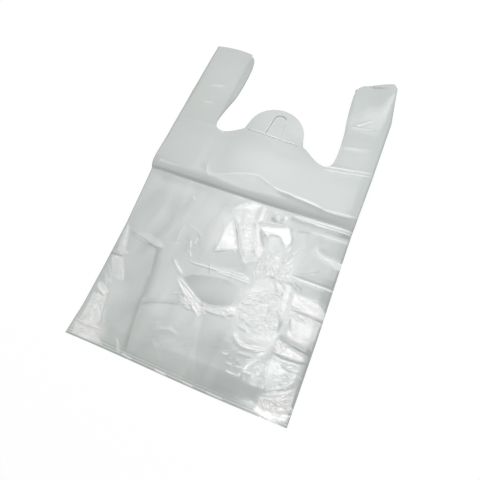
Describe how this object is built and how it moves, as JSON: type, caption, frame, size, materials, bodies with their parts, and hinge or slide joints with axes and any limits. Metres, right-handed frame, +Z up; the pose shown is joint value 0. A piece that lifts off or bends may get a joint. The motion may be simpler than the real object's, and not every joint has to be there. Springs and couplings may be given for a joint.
{
  "type": "plastic carrier bag",
  "caption": "Thin white plastic vest carrier bag lying flat and creased, with handles, a round hanging tab between them and sides folded in as gussets.",
  "frame": {"origin": "bottom centre of the laid bag's bounding box, on the surface that the bag lies on", "axes": "+Y from the welded foot to the handles, +Z up from the surface through the layers of film, +X to the right seen from above"},
  "size_m": [0.301, 0.5024, 0.0154],
  "materials": {
    "film": "thin translucent white polythene film with a soft gloss"
  },
  "bodies": {
    "root": {"carrier_bag": "film"}
  },
  "joints": []
}
